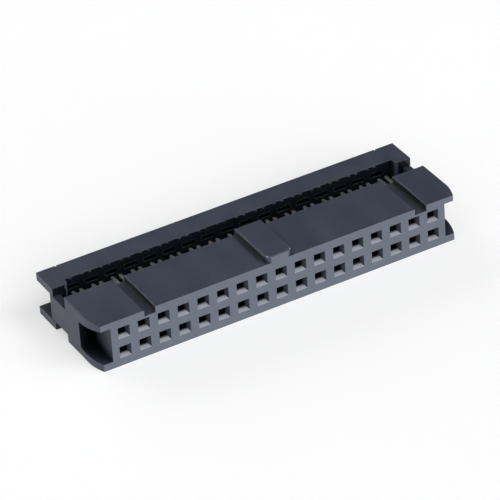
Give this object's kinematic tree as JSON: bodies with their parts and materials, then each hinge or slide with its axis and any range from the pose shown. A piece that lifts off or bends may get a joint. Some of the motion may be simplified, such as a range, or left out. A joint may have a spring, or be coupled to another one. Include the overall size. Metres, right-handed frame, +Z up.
{
  "type": "idc socket connector",
  "caption": "Two-row ribbon cable socket with a polarizing key, chamfered square sockets and an unpressed cover on two latch ears.",
  "frame": {"origin": "middle of the bounding box at the resting side, opposite the key", "axes": "+X along the two rows of sockets, -Y out of the mating face, +Y out of the cover's back, +Z up through the key"},
  "size_m": [0.0476, 0.0144, 0.007],
  "materials": {
    "moulded_body": "fine satin mould texture",
    "moulded_cover": "fine satin mould texture",
    "tinned_contact": "bright tin plate over stamped bronze"
  },
  "bodies": {
    "body": {"housing": "moulded_body", "contact_01": "tinned_contact", "contact_02": "tinned_contact", "contact_03": "tinned_contact", "contact_04": "tinned_contact", "contact_05": "tinned_contact", "contact_06": "tinned_contact", "contact_07": "tinned_contact", "contact_08": "tinned_contact", "contact_09": "tinned_contact", "contact_10": "tinned_contact", "contact_11": "tinned_contact", "contact_12": "tinned_contact", "contact_13": "tinned_contact", "contact_14": "tinned_contact", "contact_15": "tinned_contact", "contact_16": "tinned_contact", "contact_17": "tinned_contact", "contact_18": "tinned_contact", "contact_19": "tinned_contact", "contact_20": "tinned_contact", "contact_21": "tinned_contact", "contact_22": "tinned_contact", "contact_23": "tinned_contact", "contact_24": "tinned_contact", "contact_25": "tinned_contact", "contact_26": "tinned_contact", "contact_27": "tinned_contact", "contact_28": "tinned_contact", "contact_29": "tinned_contact", "contact_30": "tinned_contact", "contact_31": "tinned_contact", "contact_32": "tinned_contact", "contact_33": "tinned_contact", "contact_34": "tinned_contact"},
    "press_cover": {"cover": "moulded_cover"}
  },
  "joints": [
    {"name": "cover_press", "type": "slide", "parent": "body", "child": "press_cover", "axis": [0, -1, 0], "range_m": [0, 0.00295]}
  ]
}
